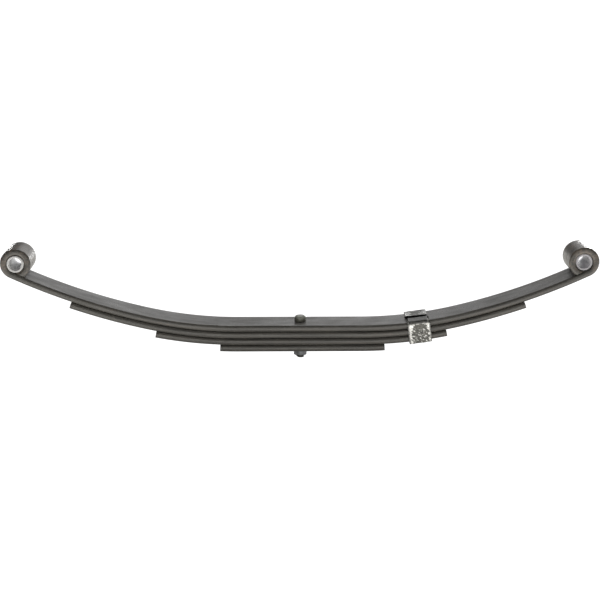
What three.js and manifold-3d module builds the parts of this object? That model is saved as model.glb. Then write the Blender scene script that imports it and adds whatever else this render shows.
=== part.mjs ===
// A four-leaf, double-eye trailer leaf spring, arched with its eyes up. Millimetres, +Z up.
// X runs along the spring, Y across the leaves, and the origin is on the centre bolt's axis at the
// underside of the fourth leaf. The three longer leaves are in three lengths each, a clamped centre
// and two arms, so that each arm can hinge at its flex point as the spring bends.
import * as THREE from 'three';
import { mergeVertices } from 'three/addons/utils/BufferGeometryUtils.js';
import Module from 'manifold-3d';

const wasm = await Module();
wasm.setup();

// Spring bar
const leafWidth = 44.45;
const leafThickness = 7.4;
const edgeRadius = 5.55; // the rolled bar's convex edges
const leafGap = 0.35; // paint and air between one leaf and the next

// Arch of the main leaf's upper face: a flat at the bolt, then two arcs up to the eye
const eyeSpan = 641.35; // between the eyes' centres
const flatHalf = 70;
const nearRadius = 475;
const nearAngle = THREE.MathUtils.degToRad(13);
const farRadius = 740;

// How far each shorter leaf reaches from the bolt, along the main leaf's upper face
const secondLeafReach = { left: 261, right: 256 };
const thirdLeafReach = { left: 161.5, right: 163.7 };
const fourthLeafReach = { left: 90.5, right: 94.7 };

// Flex points of the two arms
const flexPastTips = 4.3; // outboard of the fourth leaf's longer end
const flexGap = 1.4; // open slot between a centre length and an arm

// Eyes and bushings
const bushingOuter = 19.05;
const bushingBore = 14.3;
const bushingChamfer = 0.5;
const bushingClearance = 0.3; // all round, in the eye
const rightBushingSetBack = 2; // the right bushing sits this far towards +Y
const eyeWrap = THREE.MathUtils.degToRad(332);
const eyeLap = THREE.MathUtils.degToRad(0.2); // between the curl's two lengths, which are joined
const eyeNip = 0.4; // between the curl's tip and the leaf that it closes on

// Centre bolt and nut
const boltDiameter = 9.525;
const boltHoleClearance = 0.4; // all round, in the leaves
const boltHeadDiameter = 13.4;
const boltHeadHeight = 6.4;
const boltHeadChamfer = 1.9;
const boltEndBelowNut = 3.2;
const boltEndChamfer = 0.9;
const nutAcrossFlats = 14.29;
const nutHeight = 8.3;
const nutTurn = THREE.MathUtils.degToRad(-4);
const nutChamfer = 0.8;
const threadClearance = 0.3; // all round, between bolt and nut
const seatClearance = 0.3; // under the bolt's head and over the nut

// Rebound clip and its rivet
const clipFromTip = 29.6; // from the third leaf's tip to the middle of the clip
const clipWidth = 25.4;
const clipThickness = 2;
const clipBend = 1.4; // inside radius of its corners
const clipClearance = 0.4;
const frontTab = 13;
const tabGap = 7.25; // between the two folded ends
const rivetDiameter = 6.35;
const rivetSunkDiameter = 11;
const rivetSunkRim = 0.6; // height of its sunk head's straight rim
const rivetHeadDiameter = 11.5;
const rivetHeadHeight = 2.2;
const rivetCrownDiameter = 5.75; // the flat of its formed head
const rivetShoulderDiameter = 9.8;
const rivetShoulderHeight = 1.3; // from the clip to the formed head's shoulder
const rivetClearance = 0.3;

// Facets
const leafStep = 11; // longest step along a plain leaf
const eyeStep = 3.6; // longest step where a leaf curls
const edgeFacets = 4;
const roundFacets = 32;
const bendFacets = 4;

const leafPitch = leafThickness + leafGap;
const leafCount = 4;
const stackTop = leafCount * leafPitch - leafGap;
const thirdUnderside = 3 * leafPitch - leafGap; // depth below the main leaf's upper face
const eyeBoreRadius = bushingOuter / 2 + bushingClearance;
const flexReach = Math.max(fourthLeafReach.left, fourthLeafReach.right) + flexPastTips;
const clipReach = thirdLeafReach.right - clipFromTip;

const paint = { color: 0x3a3a3b, roughness: 0.45, metalness: 0.2 };
const leafPaint = new THREE.MeshStandardMaterial(paint);
const nylon = new THREE.MeshStandardMaterial({ color: 0xdcdcd8, roughness: 0.5, metalness: 0 });
const boltSteel = new THREE.MeshStandardMaterial({ color: 0x34352f, roughness: 0.5, metalness: 0.7 });
const nutSteel = new THREE.MeshStandardMaterial({ color: 0x4b4c50, roughness: 0.4, metalness: 0.8 });
const wornSteel = new THREE.MeshStandardMaterial({ color: 0x9a9a94, roughness: 0.5, metalness: 0.6 });
const rivetSteel = new THREE.MeshStandardMaterial({ color: 0x55564f, roughness: 0.5, metalness: 0.7 });

// Arc length from the bolt to where the main leaf meets its eye, and the slope there
const nearEndX = flatHalf + nearRadius * Math.sin(nearAngle);
const nearEndRise = nearRadius * (1 - Math.cos(nearAngle));
const farEndSine =
  (eyeSpan / 2 - nearEndX + farRadius * Math.sin(nearAngle)) / (farRadius - eyeBoreRadius);
const eyeAngle = Math.asin(farEndSine);
const nearEnd = flatHalf + nearRadius * nearAngle;
const eyeReach = nearEnd + farRadius * (eyeAngle - nearAngle);

// Point and slope on a leaf, at a signed reach from the bolt and a depth below the upper face
function leafPoint(reach, depth) {
  const run = Math.abs(reach);
  let x = run;
  let rise = 0;
  let slope = 0;
  if (run > nearEnd) {
    slope = nearAngle + (run - nearEnd) / farRadius;
    x = nearEndX + farRadius * (Math.sin(slope) - Math.sin(nearAngle));
    rise = nearEndRise + farRadius * (Math.cos(nearAngle) - Math.cos(slope));
  } else if (run > flatHalf) {
    slope = (run - flatHalf) / nearRadius;
    x = flatHalf + nearRadius * Math.sin(slope);
    rise = nearRadius * (1 - Math.cos(slope));
  }
  const side = Math.sign(reach) || 1;
  return {
    x: side * (x + depth * Math.sin(slope)),
    z: stackTop + rise - depth * Math.cos(slope),
    slope: side * slope,
  };
}

// A line in the XZ plane whose frame keeps one direction across the leaf
class LeafLine extends THREE.Curve {
  constructor(length, at) {
    super();
    this.length = length;
    this.at = at;
    this.arcLengthDivisions = 600;
  }

  getPoint(t, target = new THREE.Vector3()) {
    const { x, z } = this.at(t * this.length);
    return target.set(x, 0, z);
  }

  computeFrenetFrames(segments) {
    const tangents = [];
    const normals = [];
    const binormals = [];
    for (let i = 0; i <= segments; i += 1) {
      const tangent = this.getTangentAt(i / segments);
      const across = new THREE.Vector3(0, 1, 0);
      tangents.push(tangent);
      normals.push(across);
      binormals.push(new THREE.Vector3().crossVectors(tangent, across));
    }
    return { tangents, normals, binormals };
  }
}

// The bar's section: flat faces and convex edges
function barSection() {
  const half = leafThickness / 2;
  const bow = Math.asin(half / edgeRadius);
  const centre = leafWidth / 2 - edgeRadius;
  const points = [];
  for (const side of [1, -1]) {
    for (let i = 0; i <= edgeFacets; i += 1) {
      const angle = side * bow * ((2 * i) / edgeFacets - 1);
      const across = side * (centre + edgeRadius * Math.cos(angle));
      points.push(new THREE.Vector2(across, edgeRadius * Math.sin(angle)));
    }
  }
  return new THREE.Shape(points);
}

function sweepBar(length, step, at) {
  const steps = Math.ceil(length / step);
  return new THREE.ExtrudeGeometry(barSection(), { steps, extrudePath: new LeafLine(length, at) });
}

// A plain length of leaf between two reaches; leaf 0 is the main leaf
function leafLength(leaf, from, to) {
  const depth = leaf * leafPitch + leafThickness / 2;
  return sweepBar(to - from, leafStep, (run) => leafPoint(from + run, depth));
}

// An arm of the main leaf, which curls up and over into its eye. The curl's tip would run into the
// leaf that it comes back to, so it is trimmed along that leaf's upper face.
function eyeArm(side) {
  const start = flexReach + flexGap / 2;
  const straight = eyeReach - start;
  const curlRadius = eyeBoreRadius + leafThickness / 2;
  const eye = eyeCentre(side);
  const curl = (run) => {
    const turn = eyeAngle - Math.PI / 2 + run / curlRadius;
    return {
      x: eye.x + side * curlRadius * Math.cos(turn),
      z: eye.z + curlRadius * Math.sin(turn),
    };
  };
  const firstCurl = curlRadius * Math.PI;
  const lap = curlRadius * eyeLap;
  const arm = sweepBar(straight + firstCurl + lap, eyeStep, (run) => (
    run <= straight ? leafPoint(side * (start + run), leafThickness / 2) : curl(run - straight)
  ));
  const lastCurl = curlRadius * eyeWrap - firstCurl;
  const tip = sweepBar(lastCurl, eyeStep, (run) => curl(firstCurl + run));
  return shapeOf(solid(arm).add(solid(tip).subtract(solid(underNip(side)))));
}

// A block whose top is the nip's width above the leaf's upper face, inboard of the eye
function underNip(side) {
  const long = 4 * eyeBoreRadius;
  const deep = 2 * leafThickness;
  const block = new THREE.BoxGeometry(long, 2 * leafWidth, deep);
  block.translate((-side * long) / 2, 0, eyeNip - deep / 2);
  const seat = leafPoint(side * eyeReach, 0);
  block.rotateY(-seat.slope);
  block.translate(seat.x, 0, seat.z);
  return block;
}

function eyeCentre(side) {
  return leafPoint(side * eyeReach, -eyeBoreRadius);
}

// A closed geometry as a manifold solid, and back
function solid(geometry) {
  const bare = geometry.clone();
  bare.deleteAttribute('normal');
  bare.deleteAttribute('uv');
  const merged = mergeVertices(bare, 1e-4);
  const vertProperties = new Float32Array(merged.attributes.position.array);
  const triVerts = new Uint32Array(merged.index.array);
  return new wasm.Manifold(new wasm.Mesh({ numProp: 3, vertProperties, triVerts }));
}

function shapeOf(manifold) {
  const { vertProperties, triVerts } = manifold.getMesh();
  const geometry = new THREE.BufferGeometry();
  geometry.setAttribute('position', new THREE.BufferAttribute(vertProperties, 3));
  geometry.setIndex(new THREE.BufferAttribute(triVerts, 1));
  return geometry;
}

function cut(geometry, ...cutters) {
  let left = solid(geometry);
  for (const cutter of cutters) {
    left = left.subtract(solid(cutter));
  }
  return shapeOf(left);
}

// A turned solid about Z from its outline's [radius, height] points, lowest first
function turned(outline, facets = roundFacets) {
  const points = outline.map(([radius, height]) => new THREE.Vector2(radius, height));
  return new THREE.LatheGeometry(points, facets).rotateX(Math.PI / 2);
}

function rod(radius, low, high) {
  return turned([[0, low], [radius, low], [radius, high], [0, high]]);
}

function boltHole() {
  return rod(boltDiameter / 2 + boltHoleClearance, -leafPitch, stackTop + leafPitch);
}

function boltGeometry() {
  const shank = boltDiameter / 2;
  const head = boltHeadDiameter / 2;
  const headSeat = stackTop + seatClearance;
  const headTop = headSeat + boltHeadHeight;
  const end = -seatClearance - nutHeight - boltEndBelowNut;
  return turned([
    [0, end],
    [shank - boltEndChamfer, end],
    [shank, end + boltEndChamfer],
    [shank, headSeat],
    [head, headSeat],
    [head, headTop - boltHeadChamfer],
    [head - boltHeadChamfer, headTop],
    [0, headTop],
  ]);
}

function nutGeometry() {
  const corner = nutAcrossFlats / Math.sqrt(3);
  const top = -seatClearance;
  const bottom = top - nutHeight;
  const hexagon = new THREE.CylinderGeometry(corner, corner, nutHeight, 6);
  hexagon.rotateX(Math.PI / 2);
  hexagon.rotateZ(nutTurn);
  hexagon.translate(0, 0, (top + bottom) / 2);
  const washerFace = nutAcrossFlats / 2;
  const rounded = turned([
    [0, bottom],
    [washerFace, bottom],
    [corner + nutChamfer, bottom + nutChamfer + (corner - washerFace) / 2],
    [corner + nutChamfer, top - nutChamfer - (corner - washerFace) / 2],
    [washerFace, top],
    [0, top],
  ]);
  const bore = rod(boltDiameter / 2 + threadClearance, bottom - leafPitch, top + leafPitch);
  return shapeOf(solid(hexagon).intersect(solid(rounded)).subtract(solid(bore)));
}

function bushingGeometry() {
  const outer = bushingOuter / 2;
  const inner = bushingBore / 2;
  const half = leafWidth / 2;
  const ring = turned([
    [inner, -half + bushingChamfer],
    [inner + bushingChamfer, -half],
    [outer - bushingChamfer, -half],
    [outer, -half + bushingChamfer],
    [outer, half - bushingChamfer],
    [outer - bushingChamfer, half],
    [inner + bushingChamfer, half],
    [inner, half - bushingChamfer],
    [inner, -half + bushingChamfer],
  ]);
  return ring.rotateX(Math.PI / 2);
}

// The clip is made where the leaves are level, with X along them and Z up from the main leaf's
// upper face, and its group carries it to its place and slope
function clipGeometry() {
  const half = leafWidth / 2 + clipClearance;
  const top = clipClearance;
  const bottom = -thirdUnderside - clipClearance;
  const corners = [
    [-1, top - clipBend, 1],
    [-1, bottom + clipBend, 2],
    [1, bottom + clipBend, 3],
    [1, top - clipBend, 4],
  ];
  const wrap = (radius) => corners.flatMap(([side, height, quarter]) => {
    const bend = [];
    for (let i = 0; i <= bendFacets; i += 1) {
      const angle = (quarter + i / bendFacets) * (Math.PI / 2);
      const across = side * (half - clipBend) + radius * Math.cos(angle);
      bend.push(new THREE.Vector2(across, height + radius * Math.sin(angle)));
    }
    return bend;
  });
  const tabEnds = (height) => [
    new THREE.Vector2(frontTab + tabGap - half, height),
    new THREE.Vector2(frontTab - half, height),
  ];
  const [backOuter, frontOuter] = tabEnds(top + clipThickness);
  const [backInner, frontInner] = tabEnds(top);
  const strap = new THREE.Shape([
    frontOuter,
    ...wrap(clipBend + clipThickness),
    backOuter,
    backInner,
    ...wrap(clipBend).reverse(),
    frontInner,
  ]);
  const clip = new THREE.ExtrudeGeometry(strap, { depth: clipWidth, bevelEnabled: false });
  clip.translate(0, 0, -clipWidth / 2);
  const across = new THREE.Vector3(0, 1, 0);
  const up = new THREE.Vector3(0, 0, 1);
  const along = new THREE.Vector3(1, 0, 0);
  clip.applyMatrix4(new THREE.Matrix4().makeBasis(across, up, along));
  const hole = rod(rivetDiameter / 2 + rivetClearance, bottom - leafPitch, bottom + clipBend);
  return cut(clip, hole);
}

// The rivet's outline, which grown by an allowance is also the outline of its hole in the leaf
function rivetOutline(allowance) {
  const shank = rivetDiameter / 2 + allowance;
  const sunk = rivetSunkDiameter / 2 + allowance;
  const sunkSeat = -2 * leafPitch - rivetClearance;
  const sunkRim = sunkSeat - rivetSunkRim - allowance / 2;
  const sunkTop = sunkSeat + 2 * allowance;
  const headTop = -thirdUnderside - clipClearance - clipThickness - rivetClearance;
  const headBottom = headTop - rivetHeadHeight;
  return [
    [0, headBottom],
    [rivetCrownDiameter / 2 + allowance, headBottom],
    [rivetShoulderDiameter / 2 + allowance, headTop - rivetShoulderHeight],
    [rivetHeadDiameter / 2 + allowance, headTop],
    [shank, headTop],
    [shank, sunkRim - (sunk - shank)],
    [sunk, sunkRim],
    [sunk, sunkTop],
    [0, sunkTop],
  ];
}

function clipFrame() {
  const group = new THREE.Group();
  const { x, z, slope } = leafPoint(clipReach, 0);
  group.position.set(x, 0, z);
  group.rotation.y = -slope;
  group.updateMatrix();
  return group;
}

function named(name, geometry, material) {
  const mesh = new THREE.Mesh(geometry, material);
  mesh.name = name;
  return mesh;
}

const group = new THREE.Group();

// Centre lengths, with the bolt's hole, and the plain arms of the second and third leaves
const armStart = flexReach + flexGap / 2;
const centreEnd = flexReach - flexGap / 2;
const leafNames = ['main_leaf', 'second_leaf', 'third_leaf'];
const reaches = [null, secondLeafReach, thirdLeafReach];
const clipGroup = clipFrame();
leafNames.forEach((name, leaf) => {
  const centre = cut(leafLength(leaf, -centreEnd, centreEnd), boltHole());
  group.add(named(`${name}_centre`, centre, leafPaint));
  if (leaf > 0) {
    const left = leafLength(leaf, -reaches[leaf].left, -armStart);
    let right = leafLength(leaf, armStart, reaches[leaf].right);
    if (name === 'third_leaf') {
      right = cut(right, turned(rivetOutline(rivetClearance)).applyMatrix4(clipGroup.matrix));
    }
    group.add(named(`${name}_left`, left, leafPaint));
    group.add(named(`${name}_right`, right, leafPaint));
  }
});
const fourthLeaf = cut(leafLength(3, -fourthLeafReach.left, fourthLeafReach.right), boltHole());
group.add(named('fourth_leaf', fourthLeaf, leafPaint));

// Arms of the main leaf with their eyes, and the bushings in them
for (const [sideName, side, setBack] of [['left', -1, 0], ['right', 1, rightBushingSetBack]]) {
  group.add(named(`main_leaf_${sideName}`, eyeArm(side), leafPaint));
  const bushing = named(`${sideName}_bushing`, bushingGeometry(), nylon);
  const eye = eyeCentre(side);
  bushing.position.set(eye.x, setBack, eye.z);
  group.add(bushing);
}

group.add(named('centre_bolt', boltGeometry(), boltSteel));
group.add(named('centre_nut', nutGeometry(), nutSteel));

clipGroup.add(named('rebound_clip', clipGeometry(), wornSteel));
clipGroup.add(named('clip_rivet', turned(rivetOutline(0)), rivetSteel));
group.add(clipGroup);

export default group;
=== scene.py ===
from math import asin, atan2, cos, pi, radians, sin, sqrt

import bmesh
import bpy
from mathutils import Matrix, Vector, noise


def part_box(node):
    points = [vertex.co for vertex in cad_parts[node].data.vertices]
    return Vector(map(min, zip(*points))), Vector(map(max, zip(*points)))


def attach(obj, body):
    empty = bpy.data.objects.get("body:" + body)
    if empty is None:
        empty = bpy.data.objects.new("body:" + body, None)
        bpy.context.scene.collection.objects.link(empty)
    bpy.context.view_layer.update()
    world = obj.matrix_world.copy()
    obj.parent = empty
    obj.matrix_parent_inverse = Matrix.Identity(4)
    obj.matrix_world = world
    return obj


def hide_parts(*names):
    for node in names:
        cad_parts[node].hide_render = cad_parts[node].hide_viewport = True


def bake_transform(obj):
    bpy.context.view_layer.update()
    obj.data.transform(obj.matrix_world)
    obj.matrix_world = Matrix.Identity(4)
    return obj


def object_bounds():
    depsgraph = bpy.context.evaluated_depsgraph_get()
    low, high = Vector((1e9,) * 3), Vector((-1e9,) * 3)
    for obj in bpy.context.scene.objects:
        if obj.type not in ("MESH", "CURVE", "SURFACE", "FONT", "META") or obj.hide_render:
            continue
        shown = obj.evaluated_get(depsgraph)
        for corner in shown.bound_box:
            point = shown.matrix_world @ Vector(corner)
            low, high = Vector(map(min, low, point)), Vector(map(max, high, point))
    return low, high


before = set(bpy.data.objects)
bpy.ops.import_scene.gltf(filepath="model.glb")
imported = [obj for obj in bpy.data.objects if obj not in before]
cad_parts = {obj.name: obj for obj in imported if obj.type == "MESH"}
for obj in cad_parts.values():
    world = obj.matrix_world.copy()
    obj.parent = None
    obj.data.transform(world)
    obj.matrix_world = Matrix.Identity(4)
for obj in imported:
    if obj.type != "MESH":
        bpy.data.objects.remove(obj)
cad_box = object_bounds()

# Spring leaves. Four bars of rolled spring steel with flat faces and convex edges, bent hot to one
# arch, sawn square at their tips and stacked on the centre bolt. The three longer ones bend in
# use, so each is two halves that meet at the bolt.
LEAF_WIDTH = 0.04445
LEAF_THICKNESS = 0.0074
LEAF_GAP = 0.00035
LEAF_PITCH = LEAF_THICKNESS + LEAF_GAP
STACK_TOP = 4 * LEAF_PITCH - LEAF_GAP
EDGE_RADIUS = 0.00555
CORNER_ROUND = 0.0005
FLAT_HALF = 0.070
NEAR_RADIUS = 0.475
NEAR_TURN = radians(13)
FAR_RADIUS = 0.740
SECOND_REACH = {"left": 0.261, "right": 0.256}
THIRD_REACH = {"left": 0.1615, "right": 0.1637}
FOURTH_REACH = {"left": 0.0905, "right": 0.0947}
TIP_BEVEL = 0.0004
BAR_STEP = 0.0045
ROW_WIDTH = 0.0100  # between the rows of faces along a bar
LEAF_SHIFT = 2.0  # each leaf reads its own stretch of the paint's pattern
CURL_FROM = 0.335  # along the main leaf, where the forged scale of its curls begins
CURL_FULL = 0.350
MAIN_LEAF_PAST = 0.5  # further along than the main leaf's tip, and short of the other leaves' shift


def bar_section(bm, leaf):
    """The rolled bar's section, one row of faces across X = 0 at a leaf's level."""
    half = LEAF_THICKNESS / 2
    bow = asin(half / EDGE_RADIUS)
    bulge = LEAF_WIDTH / 2 - EDGE_RADIUS
    foot = bm.verts.new((0, bulge + EDGE_RADIUS * cos(bow), -half))
    bmesh.ops.spin(bm, geom=[foot], cent=(0, bulge, 0), axis=(1, 0, 0), angle=2 * bow, steps=8)
    bmesh.ops.mirror(bm, geom=bm.verts[:] + bm.edges[:], axis="Y", merge_dist=0)
    bmesh.ops.contextual_create(bm, geom=bm.verts[:])
    corners = [v for v in bm.verts if abs(abs(v.co.z) - half) < 1e-6]
    bmesh.ops.bevel(
        bm, geom=corners, affect="VERTICES", offset=CORNER_ROUND, segments=3, profile=0.5, material=-1
    )
    for row in range(-2, 3):
        bmesh.ops.bisect_plane(
            bm, geom=bm.verts[:] + bm.edges[:] + bm.faces[:],
            plane_co=(0, row * ROW_WIDTH, 0), plane_no=(0, 1, 0),
        )
    bar = bm.verts.layers.float_vector.new("bar")
    for vert in bm.verts:
        vert[bar] = (LEAF_SHIFT * leaf, vert.co.y, vert.co.z)
        vert.co.z += STACK_TOP - leaf * LEAF_PITCH - half
    return bm.faces[:]


def roll_on(bm, section, length, centre=None, turn=0, step=BAR_STEP, axis=(0, -1, 0), way=(1, 0, 0)):
    """Rolls the section on by a length, straight along its way or through a turn about a centre."""
    bar = bm.verts.layers.float_vector["bar"]
    steps = max(1, round(length / step))
    for _ in range(steps):
        rolled = bmesh.ops.spin(
            bm,
            geom=section,
            cent=centre or (0, 0, 0),
            axis=axis,
            angle=turn / steps,
            dvec=(0, 0, 0) if centre else Vector(way) * length / steps,
            steps=1,
        )
        section = [f for f in rolled["geom_last"] if isinstance(f, bmesh.types.BMFace)]
        for vert in {v for f in section for v in f.verts}:
            vert[bar].x += length / steps
    return section


def arch(bm, section, reach):
    """Rolls the section from the bolt to a leaf's reach: the flat, the near arc, the far arc."""
    near_centre = Vector((FLAT_HALF, 0, STACK_TOP + NEAR_RADIUS))
    near_length = NEAR_RADIUS * NEAR_TURN
    heading = Vector((-sin(NEAR_TURN), 0, cos(NEAR_TURN)))
    far_centre = near_centre + (FAR_RADIUS - NEAR_RADIUS) * heading
    section = roll_on(bm, section, FLAT_HALF)
    first = min(reach - FLAT_HALF, near_length)
    section = roll_on(bm, section, first, near_centre, first / NEAR_RADIUS)
    second = reach - FLAT_HALF - first
    if second > 0:
        section = roll_on(bm, section, second, far_centre, second / FAR_RADIUS)
    return section


def square_off(bm, section):
    """Breaks the sharp edges of a sawn tip."""
    rim = [e for e in {e for f in section for e in f.edges} if len(set(e.link_faces) & set(section)) == 1]
    bmesh.ops.bevel(
        bm, geom=rim, affect="EDGES", offset=TIP_BEVEL, segments=2, profile=0.5, material=-1
    )


def on_side(bm, side):
    """Mirrors a right-hand half if the side is left, and turns its faces outwards."""
    if side == "left":
        bar = bm.verts.layers.float_vector["bar"]
        bmesh.ops.scale(bm, vec=(-1, 1, 1), verts=bm.verts)
        for vert in bm.verts:
            vert[bar].x *= -1
    bmesh.ops.recalc_face_normals(bm, faces=bm.faces)


def finished(name, bm, material, smooth=35):
    """Makes a bmesh into a named piece with its finish, smooth but for its real edges."""
    mesh = bpy.data.meshes.new(name)
    bm.to_mesh(mesh)
    bm.free()
    mesh.shade_smooth()
    mesh.set_sharp_from_angle(angle=radians(smooth))
    mesh.materials.append(material)
    piece = bpy.data.objects.new(name, mesh)
    bpy.context.scene.collection.objects.link(piece)
    return piece


def new_material(name):
    """An empty node material with its Principled shader."""
    material = bpy.data.materials.new(name)
    material.use_nodes = True
    return material, material.node_tree, material.node_tree.nodes["Principled BSDF"]


def node(tree, kind, inputs=(), **settings):
    """Adds a node, sets its properties, and fills or links its named inputs."""
    made = tree.nodes.new(kind)
    for key, value in settings.items():
        setattr(made, key, value)
    for key, value in dict(inputs).items():
        if isinstance(value, bpy.types.NodeSocket):
            tree.links.new(value, made.inputs[key])
        else:
            made.inputs[key].default_value = value
    return made


def noise_of(tree, place, scale, detail=4.0, roughness=0.55):
    """Noise over a place that is in metres; scale is in features a metre."""
    return node(
        tree, "ShaderNodeTexNoise",
        {"Vector": place, "Scale": scale, "Detail": detail, "Roughness": roughness},
    ).outputs["Fac"]


def ramp(tree, value, low, high, to_low=0.0, to_high=1.0):
    """Maps a value from one range to another, clamped."""
    return node(
        tree, "ShaderNodeMapRange",
        {"Value": value, "From Min": low, "From Max": high, "To Min": to_low, "To Max": to_high},
    ).outputs["Result"]


def blend_colour(tree, factor, first, second):
    """Mixes two colours by a mask."""
    mixed = node(tree, "ShaderNodeMix", data_type="RGBA")
    for index, value in ((0, factor), (6, first), (7, second)):
        if isinstance(value, bpy.types.NodeSocket):
            tree.links.new(value, mixed.inputs[index])
        else:
            mixed.inputs[index].default_value = value
    return mixed.outputs[2]


def stretched(tree, place, scale):
    """A place squeezed along its axes, for patterns longer one way than another."""
    return node(tree, "ShaderNodeMapping", {"Vector": place, "Scale": scale}).outputs["Vector"]


def maths(tree, operation, first, second=0.0):
    """One arithmetic step."""
    return node(tree, "ShaderNodeMath", {0: first, 1: second}, operation=operation).outputs[0]


def grain_and_dust():
    """The fine grain and settled dust that every surface of the spring has, as one node group."""
    group = bpy.data.node_groups.new("grain_and_dust", "ShaderNodeTree")
    sockets = (
        ("Place", "INPUT", "NodeSocketVector"), ("Clean Color", "INPUT", "NodeSocketColor"),
        ("Clean Roughness", "INPUT", "NodeSocketFloat"), ("Relief", "INPUT", "NodeSocketFloat"),
        ("Grain Scale", "INPUT", "NodeSocketFloat"), ("Dust", "INPUT", "NodeSocketFloat"),
        ("Color", "OUTPUT", "NodeSocketColor"), ("Roughness", "OUTPUT", "NodeSocketFloat"),
        ("Height", "OUTPUT", "NodeSocketFloat"),
    )
    for name, way, kind in sockets:
        group.interface.new_socket(name, in_out=way, socket_type=kind)
    given = group.nodes.new("NodeGroupInput").outputs
    result = group.nodes.new("NodeGroupOutput")
    grain = noise_of(group, given["Place"], given["Grain Scale"], 3)
    fine = maths(group, "MULTIPLY", given["Grain Scale"], 2.3)
    specks = ramp(group, noise_of(group, given["Place"], fine, 1), 0.60, 0.74)
    dusted = maths(group, "MULTIPLY", specks, given["Dust"])
    shaded = blend_colour(group, dusted, given["Clean Color"], (0.24, 0.225, 0.20, 1))
    roughened = maths(group, "ADD", given["Clean Roughness"], ramp(group, grain, 0.3, 0.7, -0.05, 0.07))
    raised = maths(group, "ADD", grain, given["Relief"])
    for name, value in (("Color", shaded), ("Roughness", roughened), ("Height", raised)):
        group.links.new(value, result.inputs[name])
    return group


def surfaced(tree, shader, inputs, depth):
    """Puts the grain and dust on a clean surface, with a bump of the given depth in metres."""
    grained = node(tree, "ShaderNodeGroup", inputs, node_tree=grain_group)
    tree.links.new(grained.outputs["Color"], shader.inputs["Base Color"])
    tree.links.new(grained.outputs["Roughness"], shader.inputs["Roughness"])
    bump = node(tree, "ShaderNodeBump", {"Height": grained.outputs["Height"], "Distance": depth})
    tree.links.new(bump.outputs["Normal"], shader.inputs["Normal"])


def leaf_paint():
    """Thin black paint on rolled steel: streaks along the bar, faint rust, forged scale on the curls."""
    material, tree, shader = new_material("leaf_paint")
    place = node(tree, "ShaderNodeAttribute", attribute_name="bar").outputs["Vector"]
    streaks = noise_of(tree, stretched(tree, place, (12, 420, 420)), 1.0, 5)
    clouds = noise_of(tree, stretched(tree, place, (38, 90, 90)), 1.0, 4)
    scuffs = noise_of(tree, stretched(tree, place, (90, 420, 420)), 1.0, 5, 0.7)
    shade = blend_colour(
        tree, ramp(tree, streaks, 0.35, 0.68), (0.018, 0.017, 0.015, 1), (0.050, 0.046, 0.040, 1)
    )
    reach = maths(tree, "ABSOLUTE", node(tree, "ShaderNodeSeparateXYZ", {"Vector": place}).outputs["X"])
    on_curl = ramp(tree, reach, CURL_FROM, CURL_FULL)
    on_main_leaf = ramp(tree, reach, MAIN_LEAF_PAST, MAIN_LEAF_PAST + 0.1, 1, 0)
    curled = maths(tree, "MULTIPLY", on_curl, on_main_leaf)
    scale = noise_of(tree, place, 210, 5, 0.65)
    forged = maths(tree, "MULTIPLY", curled, ramp(tree, scale, 0.44, 0.66, 0, 0.55))
    rust = maths(tree, "MAXIMUM", forged, ramp(tree, scuffs, 0.62, 0.74, 0, 0.5))
    rusty = blend_colour(tree, rust, shade, (0.150, 0.112, 0.085, 1))
    flakes = maths(tree, "MULTIPLY", curled, maths(tree, "MULTIPLY", scale, 2.0))
    surfaced(tree, shader, {
        "Place": place,
        "Clean Color": rusty,
        "Clean Roughness": ramp(tree, clouds, 0.32, 0.68, 0.27, 0.44),
        "Relief": maths(tree, "ADD", streaks, flakes),
        "Grain Scale": 1000.0,
        "Dust": 0.45,
    }, depth=0.00010)
    return material


grain_group = grain_and_dust()
paint = leaf_paint()
plain_reaches = (("second_leaf", 1, SECOND_REACH), ("third_leaf", 2, THIRD_REACH))
for leaf_name, leaf, reaches in plain_reaches:
    for side, way in (("left", -1), ("right", 1)):
        bm = bmesh.new()
        square_off(bm, arch(bm, bar_section(bm, leaf), reaches[side]))
        on_side(bm, side)
        half = finished(f"{leaf_name}_{side}_half", bm, paint)
        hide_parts(f"{leaf_name}_centre", f"{leaf_name}_{side}")
        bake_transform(half)

# Fourth leaf. The shortest bar, bolted under the stack, which hardly bends: one piece, joined at
# the bolt from its two halves.
bm = bmesh.new()
for side in ("left", "right"):
    half = bmesh.new()
    section = bar_section(half, 3)
    square_off(half, arch(half, section, FOURTH_REACH[side]))
    at_bolt = [f for f in half.faces if abs(f.calc_center_median().x) < 1e-6]
    bmesh.ops.delete(half, geom=at_bolt, context="FACES_ONLY")
    on_side(half, side)
    mesh = bpy.data.meshes.new("half")
    half.to_mesh(mesh)
    half.free()
    bm.from_mesh(mesh)
    bpy.data.meshes.remove(mesh)
bmesh.ops.remove_doubles(bm, verts=bm.verts, dist=1e-6)
bmesh.ops.recalc_face_normals(bm, faces=bm.faces)
fourth_leaf = finished("fourth_leaf_bar", bm, paint)
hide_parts("fourth_leaf")
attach(fourth_leaf, "centre_pack")

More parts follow.
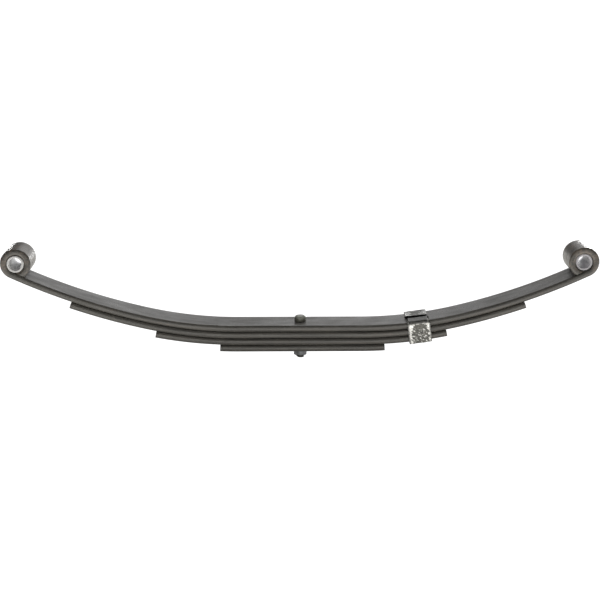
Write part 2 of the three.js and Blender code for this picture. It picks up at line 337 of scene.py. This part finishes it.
# Main leaf. The longest bar, whose ends are curled hot, up and over a mandrel, into the two eyes.
# The curl's tip is sheared to lie close along the leaf where it comes back to it.
EYE_CLEARANCE = 0.0003
EYE_WRAP = radians(332)
EYE_NIP = 0.0004
EYE_STEP = 0.0011
for side, way in (("left", -1), ("right", 1)):
    low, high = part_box(f"{side}_bushing")
    eye = Vector((abs(low.x + high.x) / 2, 0, (low.z + high.z) / 2))
    bore = (high.z - low.z) / 2 + EYE_CLEARANCE
    far_x = FLAT_HALF - (FAR_RADIUS - NEAR_RADIUS) * sin(NEAR_TURN)
    far_z = STACK_TOP + NEAR_RADIUS + (FAR_RADIUS - NEAR_RADIUS) * cos(NEAR_TURN)
    slope = atan2(eye.x - far_x, far_z - eye.z)
    reach = FLAT_HALF + NEAR_RADIUS * NEAR_TURN + FAR_RADIUS * (slope - NEAR_TURN)
    bm = bmesh.new()
    section = arch(bm, bar_section(bm, 0), reach)
    curl = bore + LEAF_THICKNESS / 2
    section = roll_on(bm, section, curl * pi, eye, pi, EYE_STEP)
    before = set(bm.faces)
    roll_on(bm, section, curl * (EYE_WRAP - pi), eye, EYE_WRAP - pi, EYE_STEP)
    tip = [f for f in bm.faces if f not in before]
    around = list({e for f in tip for e in f.edges}) + list({v for f in tip for v in f.verts})
    face_way = Vector((-sin(slope), 0, cos(slope)))
    end_face_shadow = bmesh.ops.bisect_plane(
        bm, geom=tip + around, plane_co=eye - (bore - EYE_NIP) * face_way, plane_no=face_way,
        clear_inner=True,
    )
    cut = [e for e in end_face_shadow["geom_cut"] if isinstance(e, bmesh.types.BMEdge)]
    bmesh.ops.contextual_create(bm, geom=cut)
    on_side(bm, side)
    half = finished(f"main_leaf_{side}_half", bm, paint)
    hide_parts("main_leaf_centre", f"main_leaf_{side}")
    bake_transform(half)

# Bushings. A moulded nylon sleeve pressed into each eye, with small rounds at both ends. The right
# one has crept 2 mm back in its eye.
BUSHING_BORE = 0.0143
BUSHING_ROUND = 0.0006
ROUND_FACETS = 96


def lathe(bm, outline, centre, axis, rounding, facets=ROUND_FACETS):
    """Turns a solid from its outline's (radius, height) points about an axis, its corners rounded."""
    axis = Vector(axis)
    out = Vector((1, 0, 0))
    verts = [bm.verts.new(Vector(centre) + radius * out + height * axis) for radius, height in outline]
    bm.faces.new(verts)
    corners = [v for v, (radius, _) in zip(verts, outline) if radius > 0]
    bmesh.ops.bevel(
        bm, geom=corners, affect="VERTICES", offset=rounding, segments=3, profile=0.5, material=-1
    )
    bmesh.ops.delete(bm, geom=[f for f in bm.faces], context="FACES_ONLY")
    off_axis = [v for v in bm.verts if (v.co - Vector(centre)).dot(out) > 1e-7]
    bmesh.ops.delete(
        bm, geom=[e for e in bm.edges if not set(e.verts) & set(off_axis)], context="EDGES"
    )
    bmesh.ops.spin(
        bm, geom=bm.verts[:] + bm.edges[:], cent=centre, axis=axis, angle=2 * pi, steps=facets,
        use_merge=True,
    )
    bmesh.ops.remove_doubles(bm, verts=bm.verts, dist=1e-7)
    bmesh.ops.recalc_face_normals(bm, faces=bm.faces)


def nylon(name, end_tone_and_shade):
    """White nylon: a clean bore, and end faces greyed to the given tone, which on the right sleeve is
    painted shade, with smudges and a soft sheen.
    """
    material, tree, shader = new_material(name)
    place = node(tree, "ShaderNodeTexCoord").outputs["Object"]
    smudge = noise_of(tree, place, 300, 5)
    near_end = node(tree, "ShaderNodeAttribute", attribute_name="near_end").outputs["Fac"]
    clean = blend_colour(
        tree, ramp(tree, near_end, 0.955, 0.985), (0.96, 0.96, 0.98, 1), (*end_tone_and_shade, 1)
    )
    dirt = ramp(tree, smudge, 0.50, 0.70, 0, 0.4)
    colour = blend_colour(tree, dirt, clean, (0.40, 0.39, 0.42, 1))
    surfaced(tree, shader, {
        "Place": place,
        "Clean Color": colour,
        "Clean Roughness": 0.46,
        "Relief": smudge,
        "Grain Scale": 700.0,
        "Dust": 0.5,
    }, depth=0.00006)
    return material


# The right sleeve's end faces are painted darker than the left's. This is painted shade, standing for the
# shadow that the eye's rim casts over the sleeve set back in it.
for side, end_tone_and_shade in (("left", (0.40, 0.40, 0.40)), ("right", (0.27, 0.265, 0.285))):
    low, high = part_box(f"{side}_bushing")
    centre = (low + high) / 2
    outer = (high.z - low.z) / 2
    half_length = (high.y - low.y) / 2
    bm = bmesh.new()
    lathe(
        bm,
        [
            (BUSHING_BORE / 2, -half_length), (outer, -half_length),
            (outer, half_length), (BUSHING_BORE / 2, half_length),
        ],
        centre, (0, 1, 0), BUSHING_ROUND,
    )
    near_end = bm.verts.layers.float.new("near_end")
    for vert in bm.verts:
        vert[near_end] = abs(vert.co.y - centre.y) / half_length
    sleeve = finished(f"{side}_bushing_sleeve", bm, nylon(f"{side}_nylon", end_tone_and_shade))
    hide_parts(f"{side}_bushing")
    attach(sleeve, f"{side}_bushing")

# Centre bolt. A 3/8 inch bolt of plain steel with a round head, which locates the spring on its
# seat. Its rolled thread shows below the nut.
BOLT_DIAMETER = 0.009525
HEAD_DIAMETER = 0.0134
HEAD_CHAMFER = 0.0019
HEAD_ROUND = 0.0003
SEAT_GAP = 0.0003
THREAD_PITCH = 0.0015875
THREAD_DEPTH = 0.00085
THREAD_FACETS = 64
THREAD_TURNS = 6
END_CHAMFER = 0.0009


def dark_steel(name, dark, light, metal):
    """Steel darkened by oil and handling: a cloudy tone and sheen, with fine grain."""
    material, tree, shader = new_material(name)
    place = node(tree, "ShaderNodeTexCoord").outputs["Object"]
    clouds = noise_of(tree, place, 190, 3)
    shader.inputs["Metallic"].default_value = metal
    surfaced(tree, shader, {
        "Place": place,
        "Clean Color": blend_colour(tree, ramp(tree, clouds, 0.35, 0.65), (*dark, 1), (*light, 1)),
        "Clean Roughness": ramp(tree, clouds, 0.3, 0.7, 0.28, 0.42),
        "Relief": clouds,
        "Grain Scale": 1500.0,
        "Dust": 0.3,
    }, depth=0.00003)
    return material


bolt_low, bolt_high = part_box("centre_bolt")
nut_low, nut_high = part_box("centre_nut")
head_seat = STACK_TOP + SEAT_GAP
shank = BOLT_DIAMETER / 2
thread_top = nut_low.z + 2 * THREAD_PITCH
bm = bmesh.new()
lathe(
    bm,
    [
        (0, thread_top), (shank, thread_top), (shank, head_seat), (HEAD_DIAMETER / 2, head_seat),
        (HEAD_DIAMETER / 2, bolt_high.z - HEAD_CHAMFER),
        (HEAD_DIAMETER / 2 - HEAD_CHAMFER, bolt_high.z), (0, bolt_high.z),
    ],
    (0, 0, 0), (0, 0, 1), HEAD_ROUND,
)
thread = bmesh.new()
root = shank - THREAD_DEPTH
start = bolt_low.z - THREAD_PITCH
ridge = [
    (root, 0), (shank, 0.45 * THREAD_PITCH), (shank, 0.6 * THREAD_PITCH), (root, THREAD_PITCH),
]
verts = [thread.verts.new((radius, 0, start + height)) for radius, height in ridge]
for pair in zip(verts, verts[1:]):
    thread.edges.new(pair)
bmesh.ops.spin(
    thread, geom=thread.verts[:] + thread.edges[:], cent=(0, 0, 0), axis=(0, 0, 1),
    dvec=(0, 0, THREAD_PITCH / THREAD_FACETS), angle=2 * pi * THREAD_TURNS,
    steps=THREAD_FACETS * THREAD_TURNS,
)
bmesh.ops.remove_doubles(thread, verts=thread.verts, dist=1e-7)
thread_end = bolt_low.z + END_CHAMFER
thread_start = thread_top + THREAD_PITCH
for level, way in ((thread_end, -1), (thread_start, 1)):
    bmesh.ops.bisect_plane(
        thread, geom=thread.verts[:] + thread.edges[:] + thread.faces[:],
        plane_co=(0, 0, level), plane_no=(0, 0, way), clear_outer=True,
    )
for level, fall, share in ((thread_end, -END_CHAMFER, 0.8), (thread_start, 0, 0.9)):
    rim = [e for e in thread.edges if e.is_boundary and abs(e.verts[0].co.z - level) < 1e-6]
    grown = bmesh.ops.extrude_edge_only(thread, edges=rim)["geom"]
    moved = [v for v in grown if isinstance(v, bmesh.types.BMVert)]
    bmesh.ops.scale(thread, vec=(share, share, 1), verts=moved)
    bmesh.ops.translate(thread, vec=(0, 0, fall), verts=moved)
    bmesh.ops.contextual_create(
        thread, geom=[e for e in grown if isinstance(e, bmesh.types.BMEdge)]
    )
bmesh.ops.recalc_face_normals(thread, faces=thread.faces)
mesh = bpy.data.meshes.new("thread")
thread.to_mesh(mesh)
thread.free()
bm.from_mesh(mesh)
bpy.data.meshes.remove(mesh)
bolt_steel = dark_steel("bolt_steel", (0.120, 0.122, 0.104), (0.190, 0.192, 0.165), 0.25)
bolt = finished("centre_bolt_turned", bm, bolt_steel, smooth=25)
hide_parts("centre_bolt")
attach(bolt, "centre_pack")

# Centre nut. A 9/16 inch across-flats hexagon of plain steel, turned to a cone at both faces before
# its flats are cut, and spun up against the fourth leaf.
NUT_FLATS = 0.01429
NUT_TURN = radians(-4)
NUT_CONE = 0.0010
NUT_CONE_FALL = 0.6
NUT_FACE_INSET = 0.0001
NUT_COUNTERSINK = 0.0007
NUT_ROUND = 0.0002
corner = NUT_FLATS / sqrt(3) + NUT_CONE
face = NUT_FLATS / 2 - NUT_FACE_INSET
cone = (corner - face) * NUT_CONE_FALL
bore = shank + SEAT_GAP
bm = bmesh.new()
lathe(
    bm,
    [
        (bore + NUT_COUNTERSINK, nut_low.z), (face, nut_low.z), (corner, nut_low.z + cone),
        (corner, nut_high.z - cone), (face, nut_high.z), (bore + NUT_COUNTERSINK, nut_high.z),
        (bore, nut_high.z - NUT_COUNTERSINK), (bore, nut_low.z + NUT_COUNTERSINK),
    ],
    (0, 0, 0), (0, 0, 1), NUT_ROUND,
)
for flat in range(6):
    turn = NUT_TURN + flat * pi / 3
    way = Vector((cos(turn), sin(turn), 0))
    cut = bmesh.ops.bisect_plane(
        bm, geom=bm.verts[:] + bm.edges[:] + bm.faces[:], plane_co=way * NUT_FLATS / 2, plane_no=way,
        clear_outer=True,
    )["geom_cut"]
    bmesh.ops.contextual_create(bm, geom=[e for e in cut if isinstance(e, bmesh.types.BMEdge)])
bmesh.ops.recalc_face_normals(bm, faces=bm.faces)
nut_steel = dark_steel("nut_steel", (0.14, 0.145, 0.155), (0.46, 0.47, 0.50), 0.8)
nut = finished("centre_nut_cut", bm, nut_steel, smooth=20)
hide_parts("centre_nut")
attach(nut, "centre_pack")

# Rebound clip. A steel strap bent round the upper three leaves and riveted to the third, its two
# ends folded down over the main leaf. Its paint has rubbed off the front and along its edges.
CLIP_FROM_TIP = 0.0296
CLIP_REACH = THIRD_REACH["right"] - CLIP_FROM_TIP
CLIP_WIDTH = 0.0254
CLIP_THICKNESS = 0.002
CLIP_BEND = 0.0014
CLIP_CLEARANCE = 0.0004
FRONT_TAB = 0.013
TAB_GAP = 0.00725
STRAP_STEP = 0.0008
STRAP_ROUND = 0.0003
STRAP_WAVE = 0.00025
WAVE_SCALE = 140
END_LIFT = 0.0010
END_LENGTH = 0.008
END_RAGGED = 0.8
RAGGED_SCALE = 260
END_SKEW = 0.0012
SKEW_LENGTH = 0.03
PLATE_TOP = FRONT_TAB + 0.0026  # along the strap, where its front plate begins
PLATE_HEIGHT = 0.0240
STRAP_LENGTH = 0.1345


def clip_paint():
    """Black paint on its folds, rubbed to pale scuffed steel on its front plate and back end; its sheared
    end face is painted near black as painted shadow.
    """
    material, tree, shader = new_material("clip_steel")
    place = node(tree, "ShaderNodeAttribute", attribute_name="bar").outputs["Vector"]
    parts = node(tree, "ShaderNodeSeparateXYZ", {"Vector": place})
    along, across = parts.outputs["X"], parts.outputs["Y"]
    slanted = node(tree, "ShaderNodeMapping", {"Vector": place, "Rotation": (0, 0, radians(-50))})
    blotch = noise_of(tree, stretched(tree, slanted.outputs["Vector"], (190, 420, 420)), 1.0, 4, 0.6)
    flecks = noise_of(tree, place, 620, 3, 0.6)
    broad_rub = ramp(tree, blotch, 0.36, 0.64, 0.25, 0.75)
    rub = maths(tree, "ADD", broad_rub, ramp(tree, flecks, 0.36, 0.64, -0.15, 0.15))
    left = ramp(tree, across, -CLIP_WIDTH / 2 + 0.0048, -CLIP_WIDTH / 2 + 0.0024)
    right = ramp(tree, across, CLIP_WIDTH / 2 - 0.0035, CLIP_WIDTH / 2 - 0.0010)
    edges = maths(tree, "ADD", left, right)
    sides = maths(tree, "MULTIPLY", edges, 0.5)
    upper = ramp(tree, along, PLATE_TOP + 0.0045, PLATE_TOP + 0.0085, 0.34, 0)
    smudge = node(
        tree, "ShaderNodeVectorMath",
        {0: stretched(tree, place, (1, 0.42, 0)), 1: (PLATE_TOP + 0.0042, 0.0005, 0)},
        operation="DISTANCE",
    ).outputs["Value"]
    bare = maths(tree, "ADD", rub, maths(tree, "ADD", sides, upper))
    bare = maths(tree, "SUBTRACT", bare, ramp(tree, smudge, 0.0020, 0.0034, 0.8, 0))
    on_plate = maths(
        tree, "MULTIPLY",
        ramp(tree, along, PLATE_TOP, PLATE_TOP + 0.0022),
        ramp(tree, along, PLATE_TOP + PLATE_HEIGHT - 0.0015, PLATE_TOP + PLATE_HEIGHT, 1, 0.5),
    )
    rubbed = maths(tree, "MULTIPLY", ramp(tree, bare, 0.60, 0.82), on_plate)
    past = ramp(tree, along, STRAP_LENGTH - 0.0190, STRAP_LENGTH - 0.0170)
    end_left = ramp(tree, across, -0.0030, -0.0095, 0, 0.5)
    end_right = ramp(tree, across, 0.0020, 0.0080, -0.15, 0.12)
    end_rub = maths(tree, "ADD", rub, maths(tree, "ADD", end_left, end_right))
    crumpled = maths(tree, "MULTIPLY", past, ramp(tree, end_rub, 0.55, 0.78))
    chipped = maths(tree, "MULTIPLY", edges, ramp(tree, flecks, 0.52, 0.64, 0, 0.5))
    steel = maths(tree, "MAXIMUM", rubbed, maths(tree, "MAXIMUM", crumpled, chipped))
    # Painted shadow: the sheared end face of the back tab is painted near black, as though in shade under
    # its lifted end, and made rougher.
    end_face_shadow = ramp(tree, along, STRAP_LENGTH - 0.0006, STRAP_LENGTH - 0.0002)
    worn = blend_colour(
        tree, ramp(tree, flecks, 0.40, 0.60), (0.40, 0.40, 0.385, 1), (0.82, 0.82, 0.80, 1)
    )
    folds = blend_colour(
        tree, ramp(tree, blotch, 0.4, 0.6), (0.008, 0.008, 0.007, 1), (0.035, 0.034, 0.028, 1)
    )
    face = blend_colour(
        tree, ramp(tree, rub, 0.25, 0.65), (0.014, 0.014, 0.012, 1), (0.085, 0.084, 0.070, 1)
    )
    coloured = blend_colour(tree, steel, blend_colour(tree, on_plate, folds, face), worn)
    sheen = maths(tree, "ADD", ramp(tree, steel, 0, 1, 0.42, 0.50), maths(tree, "MULTIPLY", end_face_shadow, 0.5))
    surfaced(tree, shader, {
        "Place": place,
        "Clean Color": blend_colour(tree, end_face_shadow, coloured, (0.003, 0.003, 0.003, 1)),
        "Clean Roughness": sheen,
        "Relief": maths(tree, "MULTIPLY", steel, -1.2),
        "Grain Scale": 900.0,
        "Dust": 0.3,
    }, depth=0.00010)
    tree.links.new(maths(tree, "MULTIPLY", steel, 0.3), shader.inputs["Metallic"])
    return material


def clip_place():
    """Carries what is made level, about the main leaf's upper face, to the clip's place."""
    turn = min(NEAR_TURN, (CLIP_REACH - FLAT_HALF) / NEAR_RADIUS)
    x = FLAT_HALF + NEAR_RADIUS * sin(turn)
    z = STACK_TOP + NEAR_RADIUS * (1 - cos(turn))
    return Matrix.Translation((x, 0, z)) @ Matrix.Rotation(-turn, 4, "Y")


reach_over = LEAF_WIDTH / 2 + CLIP_CLEARANCE - CLIP_BEND
reach_under = -(3 * LEAF_PITCH - LEAF_GAP) - CLIP_CLEARANCE + CLIP_BEND
reach_top = CLIP_CLEARANCE - CLIP_BEND
bend = (CLIP_BEND + CLIP_THICKNESS / 2) * pi / 2
bm = bmesh.new()
bar = bm.verts.layers.float_vector.new("bar")
front_end = FRONT_TAB - LEAF_WIDTH / 2 - CLIP_CLEARANCE
bmesh.ops.create_grid(bm, x_segments=24, y_segments=2, size=0.5)
bmesh.ops.scale(bm, vec=(CLIP_WIDTH, CLIP_THICKNESS, 1), verts=bm.verts)
bmesh.ops.rotate(bm, cent=(0, 0, 0), matrix=Matrix.Rotation(pi / 2, 3, "X"), verts=bm.verts)
bmesh.ops.translate(bm, vec=(0, front_end, CLIP_CLEARANCE + CLIP_THICKNESS / 2), verts=bm.verts)
for vert in bm.verts:
    vert[bar] = (0, vert.co.x, vert.co.z)
section = bm.faces[:]
legs = (
    ((0, -1, 0), front_end + reach_over, (0, -reach_over, reach_top)),
    ((0, 0, -1), reach_top - reach_under, (0, -reach_over, reach_under)),
    ((0, 1, 0), 2 * reach_over, (0, reach_over, reach_under)),
    ((0, 0, 1), reach_top - reach_under, (0, reach_over, reach_top)),
)
for way, length, corner in legs:
    section = roll_on(bm, section, length, way=way, step=STRAP_STEP)
    section = roll_on(bm, section, bend, corner, pi / 2, STRAP_STEP / 2, axis=(1, 0, 0))
section = roll_on(bm, section, reach_over - front_end - TAB_GAP, way=(0, -1, 0), step=STRAP_STEP)
bmesh.ops.recalc_face_normals(bm, faces=bm.faces)
long_edges = [
    e for e in bm.edges
    if len(e.link_faces) == 2 and e.link_faces[0].normal.angle(e.link_faces[1].normal) > radians(60)
]
bmesh.ops.bevel(
    bm, geom=long_edges, affect="EDGES", offset=STRAP_ROUND, segments=2, profile=0.5, material=-1
)
bm.normal_update()
whole = max(v[bar].x for v in bm.verts)
middle = Vector((0, 0, (reach_top + reach_under) / 2))
for vert in bm.verts:
    along, across, _ = vert[bar]
    sample = Vector((along, across, 0)) * WAVE_SCALE
    way = vert.co - middle
    way.x = 0
    if abs(way.y) > reach_over:
        away = Vector((0, way.y, 0)).normalized()
    else:
        away = Vector((0, 0, way.z)).normalized()
    wave = STRAP_WAVE if vert.co.z < 0 else -STRAP_WAVE
    vert.co += away * (wave + STRAP_WAVE * noise.noise(sample))
    lift = max(0, 1 - (whole - along) / END_LENGTH)
    slant = 0.5 - across / CLIP_WIDTH
    ragged = END_RAGGED * noise.noise(Vector((across * RAGGED_SCALE, 3, 7)))
    vert.co.z += lift * lift * END_LIFT * (slant + ragged)
    vert.co.x -= END_SKEW * min(1, max(0, 1 - (whole - along) / SKEW_LENGTH))
bmesh.ops.transform(bm, matrix=clip_place(), verts=bm.verts)
clip_steel = clip_paint()
clip = finished("rebound_clip_strap", bm, clip_steel, smooth=40)
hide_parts("rebound_clip")
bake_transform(clip)

# Clip rivet. A soft steel rivet, sunk flush in the top of the third leaf and headed over under the
# clip, which it holds.
RIVET_DIAMETER = 0.00635
RIVET_SUNK = 0.011
RIVET_RIM = 0.0006
RIVET_HEAD = 0.0115
RIVET_HEAD_HEIGHT = 0.0022
RIVET_GAP = 0.0003
RIVET_ROUND = 0.0001
RIVET_FACETS = 48
sunk_top = -2 * LEAF_PITCH - RIVET_GAP
head_top = reach_under - CLIP_BEND - CLIP_THICKNESS - STRAP_WAVE * 2
shank_radius = RIVET_DIAMETER / 2
sunk_radius = RIVET_SUNK / 2
head_radius = RIVET_HEAD / 2
dome = [
    (head_radius * sin(step * pi / 16), head_top - RIVET_HEAD_HEIGHT * cos(step * pi / 16))
    for step in range(9)
]
bm = bmesh.new()
lathe(
    bm,
    dome + [
        (shank_radius, head_top), (shank_radius, sunk_top - RIVET_RIM - sunk_radius + shank_radius),
        (sunk_radius, sunk_top - RIVET_RIM), (sunk_radius, sunk_top), (0, sunk_top),
    ],
    (0, 0, 0), (0, 0, 1), RIVET_ROUND, RIVET_FACETS,
)
bmesh.ops.transform(bm, matrix=clip_place(), verts=bm.verts)
rivet_steel = dark_steel("rivet_steel", (0.05, 0.048, 0.040), (0.14, 0.135, 0.12), 0.6)
rivet = finished("clip_rivet_headed", bm, rivet_steel, smooth=40)
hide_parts("clip_rivet")
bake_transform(rivet)

# Stage. A white floor that lights the spring from the front and a little from behind, a low wide
# light in front, one overhead, a small one behind each eye, a pale room and the camera.
FLOOR_RADIUS = 40.0
FLOOR_GAP = 0.0005
FLOOR_DARK = -0.012
FLOOR_LIT = -0.13
FLOOR_FAR = -0.45
FLOOR_GLOW = 3.2
floor_bm = bmesh.new()
bmesh.ops.create_circle(floor_bm, cap_ends=True, segments=96, radius=FLOOR_RADIUS)
bmesh.ops.translate(floor_bm, vec=(0, 0, cad_box[0][2] - FLOOR_GAP), verts=floor_bm.verts)
floor_mesh = bpy.data.meshes.new("floor")
floor_bm.to_mesh(floor_mesh)
floor_bm.free()
floor = bpy.data.objects.new("floor", floor_mesh)
bpy.context.scene.collection.objects.link(floor)
floor_material, floor_tree, floor_shader = new_material("floor")
floor_shader.inputs["Base Color"].default_value = (0.30, 0.30, 0.29, 1)
floor_shader.inputs["Roughness"].default_value = 0.9
floor_place = node(floor_tree, "ShaderNodeTexCoord").outputs["Object"]
in_front = node(floor_tree, "ShaderNodeSeparateXYZ", {"Vector": floor_place}).outputs["Y"]
near = ramp(floor_tree, in_front, FLOOR_DARK, FLOOR_LIT, 0, FLOOR_GLOW)
further = ramp(floor_tree, in_front, FLOOR_LIT, FLOOR_FAR, 1, 0.2)
behind_it = ramp(floor_tree, in_front, 0.03, 0.25, 0, 0.8)
floor_tree.links.new(
    maths(floor_tree, "ADD", maths(floor_tree, "MULTIPLY", near, further), behind_it),
    floor_shader.inputs["Emission Strength"],
)
floor_shader.inputs["Emission Color"].default_value = (1, 0.98, 0.93, 1)
glow = node(floor_tree, "ShaderNodeEmission", {"Color": (1, 1, 1, 1), "Strength": 1.2})
seen = node(floor_tree, "ShaderNodeLightPath").outputs["Is Camera Ray"]
both = node(floor_tree, "ShaderNodeMixShader", {0: seen, 1: floor_shader.outputs[0], 2: glow.outputs[0]})
floor_tree.links.new(both.outputs[0], floor_tree.nodes["Material Output"].inputs["Surface"])
floor_mesh.materials.append(floor_material)


def soft_light(name, place, aim, size, power, colour=(1, 1, 1)):
    """A rectangular soft light at a place, facing its aim."""
    light = bpy.data.lights.new(name, "AREA")
    light.shape = "RECTANGLE"
    light.size, light.size_y = size
    light.energy = power
    light.color = colour
    holder = bpy.data.objects.new(name, light)
    holder.location = place
    holder.rotation_euler = (Vector(aim) - Vector(place)).to_track_quat("-Z", "Y").to_euler()
    bpy.context.scene.collection.objects.link(holder)


soft_light("front_light", (0, -2.6, 0.16), (0, 0, 0.05), (3.6, 0.32), 15, (1, 0.98, 0.93))
soft_light("top_light", (0, 0.7, 2.0), (0, 0, 0), (1.8, 0.9), 32)
soft_light("left_rim", (-0.95, 2.2, 0.12), (-0.32, 0, 0.1), (0.16, 0.16), 1.2)
soft_light("right_rim", (0.98, 2.2, 0.20), (0.32, 0, 0.1), (0.44, 0.36), 11.0)

world = bpy.data.worlds.new("room")
world.use_nodes = True
room = world.node_tree
way = node(room, "ShaderNodeTexCoord").outputs["Generated"]
across = node(room, "ShaderNodeSeparateXYZ", {"Vector": way})
behind = ramp(room, across.outputs["Y"], -0.1, 0.7, 0.2, 1.02)
beside = ramp(room, across.outputs["X"], -0.08, 0.01, 0.15, 1.0)
room.links.new(maths(room, "MULTIPLY", behind, beside), room.nodes["Background"].inputs["Strength"])
room.nodes["Background"].inputs["Color"].default_value = (1.0, 1.0, 1.0, 1)
bpy.context.scene.world = world
bpy.context.scene.view_settings.view_transform = "Standard"

CAMERA_TARGET = Vector((-0.0003, 0, 0.05539))
CAMERA_DISTANCE = 1.800
CAMERA_ELEVATION = radians(13.43)
CAMERA_YAW = radians(-0.95)
CAMERA_ROLL = radians(0.01)
CAMERA_LENS = 94.2
heading = Vector((
    -sin(CAMERA_YAW) * cos(CAMERA_ELEVATION),
    cos(CAMERA_YAW) * cos(CAMERA_ELEVATION),
    -sin(CAMERA_ELEVATION),
))
camera = bpy.data.cameras.new("camera")
camera.lens = CAMERA_LENS
camera.sensor_width = 36
camera.clip_end = 100
camera_holder = bpy.data.objects.new("camera", camera)
aimed = heading.to_track_quat("-Z", "Y").to_matrix().to_4x4()
camera_holder.matrix_world = (
    Matrix.Translation(CAMERA_TARGET - CAMERA_DISTANCE * heading)
    @ aimed
    @ Matrix.Rotation(CAMERA_ROLL, 4, "Z")
)
bpy.context.scene.collection.objects.link(camera_holder)
bpy.context.scene.camera = camera_holder
